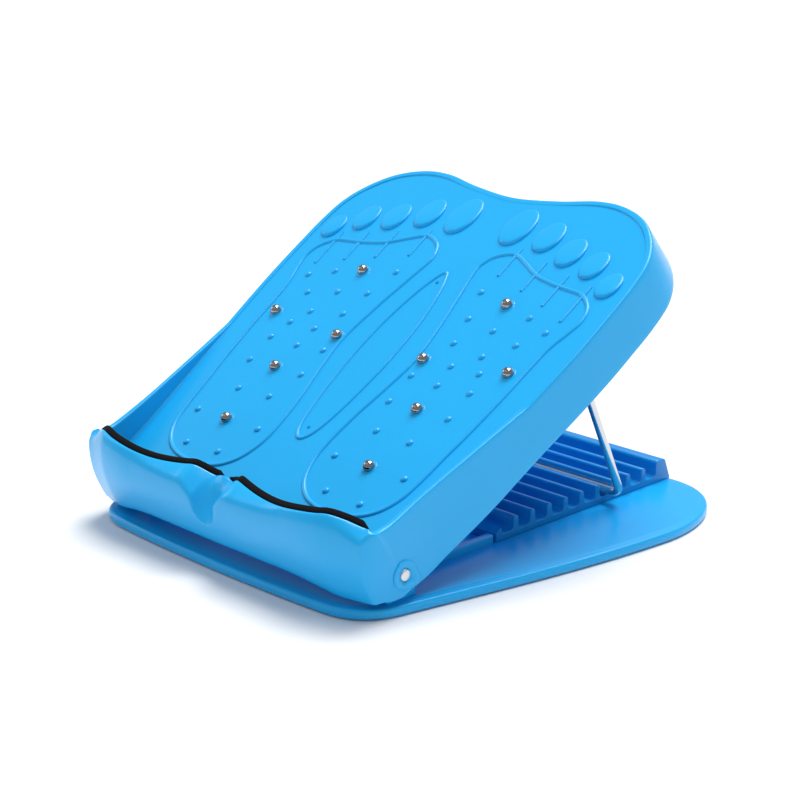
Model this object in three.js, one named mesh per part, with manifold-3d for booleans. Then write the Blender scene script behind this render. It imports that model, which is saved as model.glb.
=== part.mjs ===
// Tilting foot board for calf stretching and sole massage: a moulded foot board hinged on a
// moulded base and propped by a steel wire bail whose cross rod drops into one of ten notches.
// Millimetres. +X is the object's left to right, +Y runs from heel to toe, +Z is up.
// The hinge axis, the notches and the bail are placed in the base's frame; the foot board is
// modelled lying flat in a frame of its own (u across, v heel to toe, w out of its deck).
import * as THREE from 'three';
import { mergeVertices } from 'three/addons/utils/BufferGeometryUtils.js';
import Module from 'manifold-3d';

const wasm = await Module();
wasm.setup();

// ---------- driving dimensions ----------
const GAP = 0.3;                       // clearance between touching pieces

const BASE_BOTTOM = 1;                 // the base stands on its rubber feet
const BASE_TOP = 8;
const BASE_FRONT = -57;
const BASE_REAR = 287;
const BASE_HALF_WIDTH = 179.3;

const HINGE = { y: -18.5, z: 27.5 };
const PIN_RADIUS = 4;
const PIN_OUTER_X = 143.4;
const PIN_INNER_X = 124;
const EAR_INNER_X = 129;
const EAR_OUTER_X = 135;
const EAR_RADIUS = 9.5;
const EAR_FOOT_FRONT = 2;              // slim in front, so the board's corner can swing past
const EAR_FOOT_REAR = 18;

const NOTCH_COUNT = 10;
const NOTCH_PITCH = 17;
const NOTCH_WIDTH = 12;
const FIRST_NOTCH_Y = 109;
const NOTCH_FLOOR = 13;
const NOTCH_CORNER_RADIUS = 3;
const ROD_SEAT_GAP = 1.2;
const RIB_TOP = 22.5;
const RACK_HALF_WIDTH = 111;
const RAIL_TOP = 14;
const LATCHED_NOTCH = 7;

const BOARD_TILT = THREE.MathUtils.degToRad(32.8);
const DECK_ORIGIN_Z = 59.2;            // height of the deck's v = 0 line
const DECK_THICKNESS = 3.5;
const WALL = 3.5;                      // skirt and heel stop wall
const SKIRT_DEPTH = 35;
const DRAFT = 0.000857;                // growth of the outline for each millimetre downwards
const DRAFT_CENTRE_V = 110;

const WIRE_RADIUS = 3;
const LEG_X = 124;
const JOURNAL_END_X = 99;
const LEG_LENGTH = 137.1;
const LEG_LEAN = THREE.MathUtils.degToRad(25.5);  // from upright, top towards the hinge
const BEND_RADIUS = 9;

const PAD_THICKNESS = 4.5;
const PAD_START_U = 5;
const PAD_END_U = 132;
const PAD_END_V = -35.2;
const BALL_RADIUS = 4.3;
const BALL_LIFT = 0.8;                 // ball centre above the deck

// one sole's massage points, as [u, v] on the right foot; the left foot mirrors them
const BALL_POINTS = [[71, 177], [115, 122], [43, 115], [71, 75], [72, 22]];
const NUB_POINTS = [
  [117, 162], [96, 171], [42, 183], [103, 146], [77, 153], [50, 158], [85, 130],
  [55, 135], [94, 116], [68, 116], [99, 99], [70, 98], [44, 100], [99, 75],
  [44, 75], [86, 49], [54, 50], [104, 22], [39, 22], [88, -6], [55, -5],
];
const NUB_RADIUS = 2.7;
const NUB_HEIGHT = 1.6;

// half of the deck's outline, heel to toe, as [u, v]
const HEEL_FRONT = [[0, -66.5], [60, -66], [118, -65.5]];
const HEEL_CORNER = [[133, -65], [140.6, -58], [140.4, -38]];
const OUTLINE_SIDE = [[140.4, 0], [144.7, 40], [147.7, 80], [151.2, 125], [153, 185], [153, 215]];
const TOE_END = [[149.5, 239], [139, 259], [121, 277], [97, 286], [72, 286.5], [40, 280], [0, 275.5]];

// the heel stop's upper edge, as [u, w]: low in the middle, high behind each heel
const HEEL_CREST = [
  [0, 22], [6, 22.5], [14, 28.5], [24, 33], [45, 34.5], [75, 37.2], [105, 39.5], [116, 38.5],
  [126, 33], [137, 25], [150, 22],
];
const CUP_CENTRE_U = 74;
const CUP_DEPTH_V = -46.3;
const CUP_ARC_RADIUS = 170;
const CUP_HALF_WIDTH = 56;
const STOP_CENTRE_V = -35;
const STOP_REAR_V = -34;               // where the heel stop meets the side rims
const HOLLOW_START_U = 14;             // the heel stop is hollow from below between these
const HOLLOW_END_U = 104;
const HOLLOW_FRONT_V = -59;
const SIDE_RIM_AT_V0 = 15.3;           // raised side rim: height at v = 0, sloping to nothing
const SIDE_RIM_SLOPE = 0.153;

// ---------- solids ----------
function solid(geometry, matrix) {
  const g = geometry.clone();
  g.deleteAttribute('normal');
  g.deleteAttribute('uv');
  if (matrix) g.applyMatrix4(matrix);
  const m = mergeVertices(g, 1e-4);
  return new wasm.Manifold(new wasm.Mesh({
    numProp: 3,
    vertProperties: Float32Array.from(m.attributes.position.array),
    triVerts: Uint32Array.from(m.index.array),
  }));
}

function geometryOf(manifold) {
  const mesh = manifold.getMesh();
  const g = new THREE.BufferGeometry();
  g.setAttribute('position', new THREE.BufferAttribute(Float32Array.from(mesh.vertProperties), 3));
  g.setIndex(new THREE.BufferAttribute(Uint32Array.from(mesh.triVerts), 1));
  g.computeVertexNormals();
  return g;
}

function extrude(shape, depth, curveSegments = 6) {
  return new THREE.ExtrudeGeometry(shape, { depth, bevelEnabled: false, curveSegments, steps: 1 });
}

function polygon(points) {
  return new THREE.Shape(points.map(([x, y]) => new THREE.Vector2(x, y)));
}

// a [y, z] profile swept from x0 to x1
function alongX(points, x0, x1) {
  const turn = new THREE.Matrix4().makeBasis(
    new THREE.Vector3(0, 1, 0), new THREE.Vector3(0, 0, 1), new THREE.Vector3(1, 0, 0));
  turn.setPosition(x0, 0, 0);
  return solid(extrude(polygon(points), x1 - x0), turn);
}

// an [x, z] profile swept from y0 to y1
function alongY(points, y0, y1) {
  const turn = new THREE.Matrix4().makeBasis(
    new THREE.Vector3(1, 0, 0), new THREE.Vector3(0, 0, 1), new THREE.Vector3(0, -1, 0));
  turn.setPosition(0, y1, 0);
  return solid(extrude(polygon(points), y1 - y0), turn);
}

function alongZ(shape, z0, z1) {
  return solid(extrude(shape, z1 - z0), new THREE.Matrix4().makeTranslation(0, 0, z0));
}

function block(x0, x1, y0, y1, z0, z1) {
  const g = new THREE.BoxGeometry(x1 - x0, y1 - y0, z1 - z0);
  return solid(g, new THREE.Matrix4().makeTranslation((x0 + x1) / 2, (y0 + y1) / 2, (z0 + z1) / 2));
}

function rodAlongX(x0, x1, y, z, radius, sides = 24) {
  const g = new THREE.CylinderGeometry(radius, radius, x1 - x0, sides);
  g.rotateZ(Math.PI / 2);
  return solid(g, new THREE.Matrix4().makeTranslation((x0 + x1) / 2, y, z));
}

function rodAlongZ(x, y, z0, z1, radius, sides = 16, topRadius = radius) {
  const g = new THREE.CylinderGeometry(topRadius, radius, z1 - z0, sides);
  g.rotateX(Math.PI / 2);
  return solid(g, new THREE.Matrix4().makeTranslation(x, y, (z0 + z1) / 2));
}

function mirrorX(points) {
  return points.map(([x, y]) => [-x, y]).reverse();
}

function span(low, high) {
  return low < high ? [low, high] : [high, low];
}

// ---------- finishes ----------
function finish(color, roughness, metalness) {
  return new THREE.MeshStandardMaterial({ color, roughness, metalness });
}
const BLUE = () => finish(0x1f9ef0, 0.3, 0);
const FOAM = () => finish(0x17141a, 0.95, 0);
const STEEL = () => finish(0xc9cdd2, 0.25, 1);
const RUBBER = () => finish(0x2b2b2d, 0.85, 0);

function node(name, manifold, material) {
  const mesh = new THREE.Mesh(geometryOf(manifold), material);
  mesh.name = name;
  return mesh;
}

// ---------- base ----------
function basePlateShape() {
  const s = new THREE.Shape();
  s.moveTo(0, BASE_FRONT);
  s.quadraticCurveTo(62, BASE_FRONT, 104, BASE_FRONT + 3.5);
  s.bezierCurveTo(128, BASE_FRONT + 5.5, 139, -38, 142.5, -16);
  s.bezierCurveTo(157, 52, 174, 120, BASE_HALF_WIDTH, 200);
  s.bezierCurveTo(180, 240, 162, 283, 119, BASE_REAR - 0.6);
  s.lineTo(0, BASE_REAR);
  s.lineTo(-119, BASE_REAR - 0.6);
  s.bezierCurveTo(-162, 283, -180, 240, -BASE_HALF_WIDTH, 200);
  s.bezierCurveTo(-174, 120, -157, 52, -142.5, -16);
  s.bezierCurveTo(-139, -38, -128, BASE_FRONT + 5.5, -104, BASE_FRONT + 3.5);
  s.quadraticCurveTo(-62, BASE_FRONT, 0, BASE_FRONT);
  return s;
}

function hingeEar(side) {
  const profile = [[HINGE.y - EAR_FOOT_FRONT, BASE_TOP - 1], [HINGE.y + EAR_FOOT_REAR, BASE_TOP - 1]];
  for (let i = 0; i <= 10; i += 1) {
    const a = THREE.MathUtils.degToRad(-10 + 20 * i);
    profile.push([HINGE.y + EAR_RADIUS * Math.cos(a), HINGE.z + EAR_RADIUS * Math.sin(a)]);
  }
  const [x0, x1] = span(side * EAR_INNER_X, side * EAR_OUTER_X);
  const ear = alongX(profile, x0, x1);
  return ear.subtract(rodAlongX(x0 - 1, x1 + 1, HINGE.y, HINGE.z, PIN_RADIUS + GAP));
}

const FOOT_POINTS = [[-112, -28], [112, -28], [-135, 240], [135, 240]];
const FOOT_RADIUS = 9;
const FOOT_RECESS = 1.5;

function basePlate() {
  let body = alongZ(basePlateShape(), BASE_BOTTOM, BASE_TOP);
  for (const side of [-1, 1]) {
    body = body.add(hingeEar(side));
    const [x0, x1] = span(side * 104, side * 110);
    body = body.add(block(x0, x1, HINGE.y, FIRST_NOTCH_Y - 12.5, BASE_TOP - 1, RAIL_TOP));
  }
  for (const [x, y] of FOOT_POINTS) {
    body = body.subtract(rodAlongZ(x, y, -1, BASE_BOTTOM + FOOT_RECESS, FOOT_RADIUS + GAP, 20));
  }
  return node('base_plate', body, BLUE());
}

// the floor of one notch, flat with a rounded corner against each rib
function notchFloor(centre) {
  const r = NOTCH_CORNER_RADIUS;
  const points = [];
  for (const [side, start] of [[-1, Math.PI], [1, 1.5 * Math.PI]]) {
    const cornerY = centre + side * (NOTCH_WIDTH / 2 - r);
    for (let i = 0; i <= 3; i += 1) {
      const a = start + (Math.PI * i) / 6;
      points.push([cornerY + r * Math.cos(a), NOTCH_FLOOR + r + r * Math.sin(a)]);
    }
  }
  return points;
}

function notchRack() {
  const first = FIRST_NOTCH_Y - NOTCH_WIDTH / 2;
  const profile = [[first - 5, BASE_TOP + GAP], [first - 5, RAIL_TOP], [first, RAIL_TOP + 4.5]];
  const lastRib = FIRST_NOTCH_Y + NOTCH_PITCH * (NOTCH_COUNT - 1) + NOTCH_WIDTH / 2;
  for (let i = 0; i < NOTCH_COUNT; i += 1) {
    const centre = FIRST_NOTCH_Y + NOTCH_PITCH * i;
    profile.push(...notchFloor(centre));
    if (i < NOTCH_COUNT - 1) {
      const rib = centre + NOTCH_PITCH / 2;
      profile.push([rib - 2.3, RIB_TOP - 1.2], [rib - 1, RIB_TOP]);
      profile.push([rib + 1, RIB_TOP], [rib + 2.3, RIB_TOP - 1.2]);
    }
  }
  profile.push([lastRib, RIB_TOP], [lastRib + 2, RIB_TOP + 2], [lastRib + 9, RIB_TOP + 2]);
  profile.push([lastRib + 11, RIB_TOP + 0.5], [lastRib + 17, BASE_TOP + GAP]);
  return node('notch_rack', alongX(profile.reverse(), -RACK_HALF_WIDTH, RACK_HALF_WIDTH), BLUE());
}

function rubberFeet() {
  return FOOT_POINTS.map(([x, y]) => {
    const name = `rubber_foot_${y < 0 ? 'front' : 'rear'}_${x < 0 ? 'left' : 'right'}`;
    return node(name, rodAlongZ(x, y, 0, BASE_BOTTOM + FOOT_RECESS - GAP, FOOT_RADIUS), RUBBER());
  });
}

function hingePin(side) {
  const [x0, x1] = span(side * PIN_INNER_X, side * PIN_OUTER_X);
  const label = side < 0 ? 'left' : 'right';
  return node(`hinge_pin_${label}`, rodAlongX(x0, x1, HINGE.y, HINGE.z, PIN_RADIUS), STEEL());
}

function pinRetainer(side) {
  const outer = side * (EAR_INNER_X - GAP);
  const inner = side * (EAR_INNER_X - 1.8);
  const [x0, x1] = span(inner, outer);
  const ring = rodAlongX(x0, x1, HINGE.y, HINGE.z, 8)
    .subtract(rodAlongX(x0 - 1, x1 + 1, HINGE.y, HINGE.z, PIN_RADIUS + GAP));
  return node(`pin_retainer_${side < 0 ? 'left' : 'right'}`, ring, STEEL());
}

// ---------- foot board, in its own frame ----------
function boardShape(inset) {
  const half = new THREE.CurvePath();
  const lift = (list) => list.map(([x, y]) => new THREE.Vector2(x, y));
  const front = lift(HEEL_FRONT);
  const corner = lift(HEEL_CORNER);
  const rest = lift([...HEEL_CORNER.slice(-1), ...OUTLINE_SIDE, ...TOE_END]);
  half.add(new THREE.SplineCurve(front));
  half.add(new THREE.CubicBezierCurve(front[2], corner[0], corner[1], corner[2]));
  half.add(new THREE.SplineCurve(rest));
  const right = [];
  const steps = [4, 6, 34];
  half.curves.forEach((curve, i) => {
    const points = curve.getPoints(steps[i]);
    right.push(...points.slice(i === 0 ? 0 : 1));
  });
  const left = right.slice(1, -1).reverse().map((p) => new THREE.Vector2(-p.x, p.y));
  const ring = [...right, ...left];
  if (inset === 0) return new THREE.Shape(ring);
  const moved = ring.map((p, i) => {
    const before = ring[(i + ring.length - 1) % ring.length];
    const after = ring[(i + 1) % ring.length];
    const along = new THREE.Vector2().subVectors(after, before).normalize();
    return new THREE.Vector2(p.x - along.y * inset, p.y + along.x * inset);
  });
  return new THREE.Shape(moved);
}

// the outline grows downwards, as a moulding leaves its tool
function drafted(shape, w0, w1) {
  const g = extrude(shape, w1 - w0);
  const p = g.attributes.position;
  for (let i = 0; i < p.count; i += 1) {
    const w = p.getZ(i) + w0;
    const k = 1 - DRAFT * w;
    p.setXYZ(i, p.getX(i) * k, DRAFT_CENTRE_V + (p.getY(i) - DRAFT_CENTRE_V) * k, w);
  }
  return solid(g);
}

function crestProfile(drop) {
  const right = HEEL_CREST.map(([u, w]) => [u, w - drop]);
  return [...mirrorX(right.slice(1)), ...right];
}

function belowCrest(drop) {
  return alongY([[-150, -60], [150, -60], ...crestProfile(drop).reverse()], -90, -20);
}

// the heel stop's inner face seen from above: a shallow arc behind each heel
function stopFace(push) {
  const right = [[0, STOP_CENTRE_V + push], [10, STOP_CENTRE_V + push]];
  const centreV = CUP_DEPTH_V + CUP_ARC_RADIUS;
  for (let i = 0; i <= 8; i += 1) {
    const u = CUP_CENTRE_U - CUP_HALF_WIDTH + (2 * CUP_HALF_WIDTH * i) / 8;
    const rise = Math.sqrt(CUP_ARC_RADIUS ** 2 - (u - CUP_CENTRE_U) ** 2);
    right.push([u, centreV - rise + push]);
  }
  return right;
}

function upperHollow() {
  const right = stopFace(0).concat([
    [133.5, -34], [135.4, 0], [139.7, 40], [142.7, 80], [146, 125],
  ]);
  return alongZ(polygon([...mirrorX(right.slice(1)), ...right]), 0, 60);
}

function heelHollow() {
  const inHollow = ([u]) => u > HOLLOW_START_U && u < HOLLOW_END_U;
  const inner = stopFace(-WALL).filter(inHollow).reverse();
  const right = [[HOLLOW_START_U, HOLLOW_FRONT_V], [HOLLOW_END_U, HOLLOW_FRONT_V], ...inner];
  const left = mirrorX(right);
  const channel = alongZ(polygon(right), -60, 60).add(alongZ(polygon(left), -60, 60));
  return channel.intersect(belowCrest(WALL)).subtract(frontChamfer(WALL + 2));
}

function thumbNotch() {
  const scoop = new THREE.CylinderGeometry(11.5, 11.5, 70, 20);
  const m = new THREE.Matrix4().makeRotationX(THREE.MathUtils.degToRad(28));
  m.setPosition(0, -62, 25);
  return solid(scoop, m);
}

function skirtTrim() {
  return alongX([
    [-90, -60], [340, -60], [340, -SKIRT_DEPTH - 1], [200, -SKIRT_DEPTH - 1], [60, -SKIRT_DEPTH + 1],
    [2, -34], [-20, -33], [-33, -30.3], [-46, -26.5], [-55, -19.5], [-60, -15.5], [-90, -10],
  ], -200, 200);
}

// the front wall's lower edge, as [u, w]: level in the middle, falling towards the two corners
const FRONT_EDGE = [
  [60, -5], [85, -7], [100, -10.5], [112, -13.5], [120.5, -15.8], [127.5, -17.2], [133, -18], [150, -20],
];

function frontArch() {
  const right = [...FRONT_EDGE, [150, -60]];
  return alongY([...right, ...mirrorX(right)].reverse(), -90, -52);
}

// everything above the side rims, from just inside the heel stop to the toe end
function rimTrim() {
  const start = STOP_REAR_V - 2;
  const end = SIDE_RIM_AT_V0 / SIDE_RIM_SLOPE;
  const height = SIDE_RIM_AT_V0 - SIDE_RIM_SLOPE * start;
  return alongX([[start, height], [end, 0], [330, 0], [330, 70], [start, 70]], -200, 200);
}

// the heel stop's front edge is broken by a slope
function frontChamfer(drop) {
  return alongX([
    [-90, 10 - drop], [-63, 25 - drop], [-52, 43 - drop], [-52, 70], [-90, 70],
  ], -200, 200);
}

function deckRibs() {
  const depth = DECK_THICKNESS + 6;
  const top = -DECK_THICKNESS + 0.5;
  let ribs = block(-97, 97, 18.7, 21.3, -depth, top);
  for (const v of [68, 118, 206, 246]) ribs = ribs.add(block(-118, 118, v - 1.3, v + 1.3, -depth, top));
  for (const u of [-90, -30, 30, 90]) ribs = ribs.add(block(u - 1.3, u + 1.3, -20, 262, -depth, top));
  return ribs;
}

function toBoard(y, z) {
  const c = Math.cos(BOARD_TILT);
  const s = Math.sin(BOARD_TILT);
  return { v: y * c + (z - DECK_ORIGIN_Z) * s, w: -y * s + (z - DECK_ORIGIN_Z) * c };
}

// centre of the cross rod, lying low in the latched notch and pushed towards its rear
function latchedRod() {
  const centre = FIRST_NOTCH_Y + NOTCH_PITCH * (LATCHED_NOTCH - 1);
  const reach = NOTCH_WIDTH / 2 - WIRE_RADIUS - ROD_SEAT_GAP;
  return {
    y: centre + reach * Math.sin(LEG_LEAN),
    z: NOTCH_FLOOR + NOTCH_WIDTH / 2 - reach * Math.cos(LEG_LEAN),
  };
}

function bailPivot() {
  const rod = latchedRod();
  const y = rod.y - LEG_LENGTH * Math.sin(LEG_LEAN);
  const z = rod.z + LEG_LENGTH * Math.cos(LEG_LEAN);
  return { y, z, ...toBoard(y, z) };
}

const SADDLE_INNER_X = 101;
const SADDLE_OUTER_X = 115;
const SADDLE_HALF_V = 12;

function saddleBlock(side, pivot) {
  const [x0, x1] = span(side * SADDLE_INNER_X, side * SADDLE_OUTER_X);
  return block(x0, x1, pivot.v - SADDLE_HALF_V, pivot.v + SADDLE_HALF_V, pivot.w + GAP,
    -DECK_THICKNESS + 0.5);
}

const SCREW_RADIUS = 1.5;
const SCREW_HEAD_RADIUS = 3;
const SCREW_OFFSET_V = 8;

function screwPlaces(pivot) {
  const places = [];
  for (const side of [-1, 1]) {
    for (const end of [-1, 1]) {
      places.push({
        name: `clip_screw_${end < 0 ? 'front' : 'rear'}_${side < 0 ? 'left' : 'right'}`,
        u: (side * (SADDLE_INNER_X + SADDLE_OUTER_X)) / 2,
        v: pivot.v + end * SCREW_OFFSET_V,
      });
    }
  }
  return places;
}

function footBoard() {
  const pivot = bailPivot();
  const hinge = toBoard(HINGE.y, HINGE.z);
  let body = drafted(boardShape(0), -60, 60);
  body = body.subtract(rimTrim());
  body = body.intersect(belowCrest(0).add(block(-200, 200, STOP_REAR_V, 400, -80, 80)));
  body = body.subtract(upperHollow());
  body = body.subtract(drafted(boardShape(WALL), -70, -DECK_THICKNESS));
  body = body.subtract(heelHollow());
  body = body.subtract(skirtTrim()).subtract(frontArch()).subtract(frontChamfer(0));
  body = body.subtract(thumbNotch());
  body = body.add(deckRibs());
  for (const side of [-1, 1]) {
    const [x0, x1] = span(side * 138, side * 142.9);
    body = body.add(rodAlongX(x0, x1, hinge.v, hinge.w, 10, 28));
    body = body.subtract(rodAlongX(side * 150 - 20, side * 150 + 20, hinge.v, hinge.w, PIN_RADIUS + GAP));
    body = body.add(saddleBlock(side, pivot));
    for (const [u, v] of BALL_POINTS) {
      body = body.add(rodAlongZ(side * u, v, -8, -DECK_THICKNESS + 0.5, 7));
      body = body.subtract(rodAlongZ(side * u, v, -4.2, 2, BALL_RADIUS + GAP));
    }
    for (const [u, v] of NUB_POINTS) {
      body = body.add(rodAlongZ(side * u, v, -1, NUB_HEIGHT, NUB_RADIUS * 1.3, 8, NUB_RADIUS * 0.45));
    }
  }
  body = body.subtract(rodAlongX(-SADDLE_OUTER_X - 2, -SADDLE_INNER_X + 2, pivot.v, pivot.w,
    WIRE_RADIUS + GAP));
  body = body.subtract(rodAlongX(SADDLE_INNER_X - 2, SADDLE_OUTER_X + 2, pivot.v, pivot.w,
    WIRE_RADIUS + GAP));
  for (const { u, v } of screwPlaces(pivot)) {
    body = body.subtract(rodAlongZ(u, v, pivot.w - 1, -DECK_THICKNESS - 1.5, SCREW_RADIUS + GAP, 12));
  }
  return node('foot_board', body, BLUE());
}

function bailClip(side, pivot) {
  const [x0, x1] = span(side * SADDLE_INNER_X, side * SADDLE_OUTER_X);
  let clip = block(x0, x1, pivot.v - SADDLE_HALF_V, pivot.v + SADDLE_HALF_V, pivot.w - 5.2, pivot.w);
  clip = clip.subtract(rodAlongX(x0 - 1, x1 + 1, pivot.v, pivot.w, WIRE_RADIUS + GAP));
  for (const { u, v } of screwPlaces(pivot).filter((s) => s.u * side > 0)) {
    clip = clip.subtract(rodAlongZ(u, v, pivot.w - 9, pivot.w + 1, SCREW_RADIUS + GAP, 12));
  }
  return node(`bail_clip_${side < 0 ? 'left' : 'right'}`, clip, BLUE());
}

function clipScrew({ name, u, v }, pivot) {
  const under = pivot.w - 5.2 - GAP;
  const shank = rodAlongZ(u, v, under - 0.2, -DECK_THICKNESS - 2.5, SCREW_RADIUS, 12);
  const head = rodAlongZ(u, v, under - 1.6, under, SCREW_HEAD_RADIUS, 12);
  return node(name, shank.add(head), STEEL());
}

// the stretch of the heel stop's inner face that one pad covers
function padFace(push) {
  const arc = stopFace(push).slice(1);
  return [[PAD_START_U, STOP_CENTRE_V + push], ...arc, [PAD_END_U, PAD_END_V + push]];
}

function heelPad(side) {
  const outer = padFace(GAP);
  const inner = padFace(GAP + PAD_THICKNESS).reverse();
  const crescent = [...outer, ...inner].map(([u, v]) => [side * u, v]);
  if (side < 0) crescent.reverse();
  const pad = alongZ(polygon(crescent), 2.2, 60).intersect(belowCrest(1.2));
  return node(`heel_pad_${side < 0 ? 'left' : 'right'}`, pad, FOAM());
}

function massageBalls() {
  const balls = [];
  for (const side of [-1, 1]) {
    BALL_POINTS.forEach(([u, v], i) => {
      const g = new THREE.SphereGeometry(BALL_RADIUS, 12, 7);
      const place = new THREE.Matrix4().makeTranslation(side * u, v, BALL_LIFT);
      balls.push(node(`massage_ball_${side < 0 ? 'left' : 'right'}_${i + 1}`, solid(g, place), STEEL()));
    });
  }
  return balls;
}

// ---------- support bail: one bent wire ----------
function bailPath() {
  const pivot = bailPivot();
  const rod = latchedRod();
  const down = new THREE.Vector3(0, rod.y - pivot.y, rod.z - pivot.z).normalize();
  const at = (x, drop) => new THREE.Vector3(x, pivot.y, pivot.z).addScaledVector(down, drop);
  const corners = [[-LEG_X, 0], [-LEG_X, LEG_LENGTH], [LEG_X, LEG_LENGTH], [LEG_X, 0]];
  const path = new THREE.CurvePath();
  let last = at(-JOURNAL_END_X, 0);
  corners.forEach(([x, drop], i) => {
    const corner = at(x, drop);
    const next = i < 3 ? at(...corners[i + 1]) : at(JOURNAL_END_X, 0);
    const radius = drop === 0 ? 6 : BEND_RADIUS;
    const enter = corner.clone().lerp(last, radius / corner.distanceTo(last));
    const leave = corner.clone().lerp(next, radius / corner.distanceTo(next));
    path.add(new THREE.LineCurve3(last, enter));
    path.add(new THREE.QuadraticBezierCurve3(enter, corner, leave));
    last = leave;
  });
  path.add(new THREE.LineCurve3(last, at(JOURNAL_END_X, 0)));
  return path;
}

function supportBail() {
  const section = new THREE.Shape();
  section.absarc(0, 0, WIRE_RADIUS, 0, Math.PI * 2);
  const points = [];
  bailPath().curves.forEach((curve) => {
    const steps = curve.isLineCurve3 ? 1 : 5;
    for (let i = 0; i < steps; i += 1) points.push(curve.getPoint(i / steps));
  });
  const end = bailPath().curves.at(-1).getPoint(1);
  points.push(end);
  const spine = new THREE.CurvePath();
  for (let i = 0; i + 1 < points.length; i += 1) spine.add(new THREE.LineCurve3(points[i], points[i + 1]));
  const g = new THREE.ExtrudeGeometry(section, {
    steps: 80, curveSegments: 5, bevelEnabled: false, extrudePath: spine,
  });
  return node('support_bail', solid(g), STEEL());
}

// ---------- assembly ----------
const boardFrame = new THREE.Group();
boardFrame.position.set(0, 0, DECK_ORIGIN_Z);
boardFrame.rotation.x = BOARD_TILT;
boardFrame.add(footBoard(), heelPad(-1), heelPad(1), ...massageBalls());
boardFrame.add(bailClip(-1, bailPivot()), bailClip(1, bailPivot()));
boardFrame.add(...screwPlaces(bailPivot()).map((place) => clipScrew(place, bailPivot())));

const assembly = new THREE.Group();
assembly.add(basePlate(), notchRack(), ...rubberFeet());
assembly.add(hingePin(-1), hingePin(1), pinRetainer(-1), pinRetainer(1));
assembly.add(supportBail(), boardFrame);

// the origin lies on the floor under the middle of the whole object
const box = new THREE.Box3().setFromObject(assembly, true);
assembly.position.y = -(box.min.y + box.max.y) / 2;

const root = new THREE.Group();
root.add(assembly);
export default root;
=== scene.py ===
"""Looks for the tilting foot stretch and massage board.

Every piece is modelled in millimetres, either in the base's frame or lying flat in the board's
own frame (u across, v heel to toe, w out of the deck), and then set into the row frame in metres.
"""

import math

import bmesh
import bpy
import numpy as np
from mathutils import Matrix, Vector


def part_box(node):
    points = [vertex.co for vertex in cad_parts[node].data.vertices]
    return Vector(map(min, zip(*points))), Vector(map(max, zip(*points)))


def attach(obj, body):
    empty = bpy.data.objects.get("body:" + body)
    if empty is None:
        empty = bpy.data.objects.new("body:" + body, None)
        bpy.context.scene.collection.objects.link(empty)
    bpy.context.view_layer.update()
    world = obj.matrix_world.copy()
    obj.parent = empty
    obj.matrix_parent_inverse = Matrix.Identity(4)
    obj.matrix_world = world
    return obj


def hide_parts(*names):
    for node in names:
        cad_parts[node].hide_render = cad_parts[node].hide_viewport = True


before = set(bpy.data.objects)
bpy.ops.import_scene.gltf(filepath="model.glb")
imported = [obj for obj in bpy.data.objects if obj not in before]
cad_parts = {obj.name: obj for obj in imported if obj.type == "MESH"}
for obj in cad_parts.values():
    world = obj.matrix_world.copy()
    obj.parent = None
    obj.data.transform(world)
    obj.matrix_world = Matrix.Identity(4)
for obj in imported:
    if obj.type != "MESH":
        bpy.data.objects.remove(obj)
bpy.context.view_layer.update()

# ---------- frames ----------
MM = 0.001
BASE_FRONT = -57.0
BOARD_TILT = math.radians(32.8)
DECK_ORIGIN_Z = 59.2
ROW_SHIFT = BASE_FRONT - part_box("base_plate")[0].y / MM

BASE_TO_ROW = Matrix.Translation((0, -ROW_SHIFT * MM, 0)) @ Matrix.Scale(MM, 4)
BOARD_TO_ROW = (
    BASE_TO_ROW
    @ Matrix.Translation((0, 0, DECK_ORIGIN_Z))
    @ Matrix.Rotation(BOARD_TILT, 4, "X")
)

# ---------- sizes, in millimetres ----------
HINGE_Y, HINGE_Z = -18.5, 27.5
PIN_RADIUS = 4.0
DECK_THICKNESS = 3.5
WALL = 3.5
DRAFT = 0.129
RIM_WIDTH = 5.0
PAD_THICKNESS = 4.5
BALL_RADIUS = 4.3
BALL_LIFT = 0.8
WIRE_RADIUS = 3.0
LEG_X = 124.0
JOURNAL_END_X = 99.0
LEG_LENGTH = 137.1
LEG_LEAN = math.radians(25.5)
PIVOT_Y, PIVOT_Z = 152.752, 141.120

BALL_POINTS = [(71, 177), (115, 122), (43, 115), (71, 75), (72, 22)]
NUB_POINTS = [
    (117, 162), (96, 171), (42, 183), (103, 146), (77, 153), (50, 158), (85, 130),
    (55, 135), (94, 116), (68, 116), (99, 99), (70, 98), (44, 100), (99, 75),
    (44, 75), (86, 49), (54, 50), (104, 22), (39, 22), (88, -6), (55, -5),
]
SOLE_OUTLINE = [
    (36.5, 113), (33, 84), (28, 57), (25.4, 32), (25.8, 15), (30.3, 1), (37, -8.5), (47.5, -15.5),
    (62.5, -19), (80, -18.2), (95, -13.8), (106, -5.6), (113.4, 7), (117, 24), (119.5, 47),
    (122, 66), (125, 99), (126.8, 131), (128.5, 150), (133, 166), (135.6, 178), (133.4, 188),
    (127.9, 195), (120, 200.3), (113, 201.6), (99, 203), (86.7, 205), (73, 208.6), (58, 216.3),
    (46.2, 221.8), (38.4, 222), (28.5, 216.5), (23.6, 209), (22.3, 200), (27, 176), (32.5, 147),
]
TOE_PADS = [
    # centre u, centre v, half width, half length
    (27.0, 247.8, 12.8, 19.2),
    (58.3, 244.2, 11.2, 15.6),
    (85.6, 234.4, 10.6, 14.6),
    (111.3, 227.6, 9.8, 13.8),
    (134.4, 213.0, 9.0, 12.4),
]
TOE_RAYS = [
    ((44.1, 200.4), (44.3, 228.8)),
    ((72.0, 192.0), (72.7, 221.0)),
    ((97.5, 183.5), (98.0, 213.8)),
    ((120.6, 174.0), (121.8, 208.8)),
]


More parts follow.
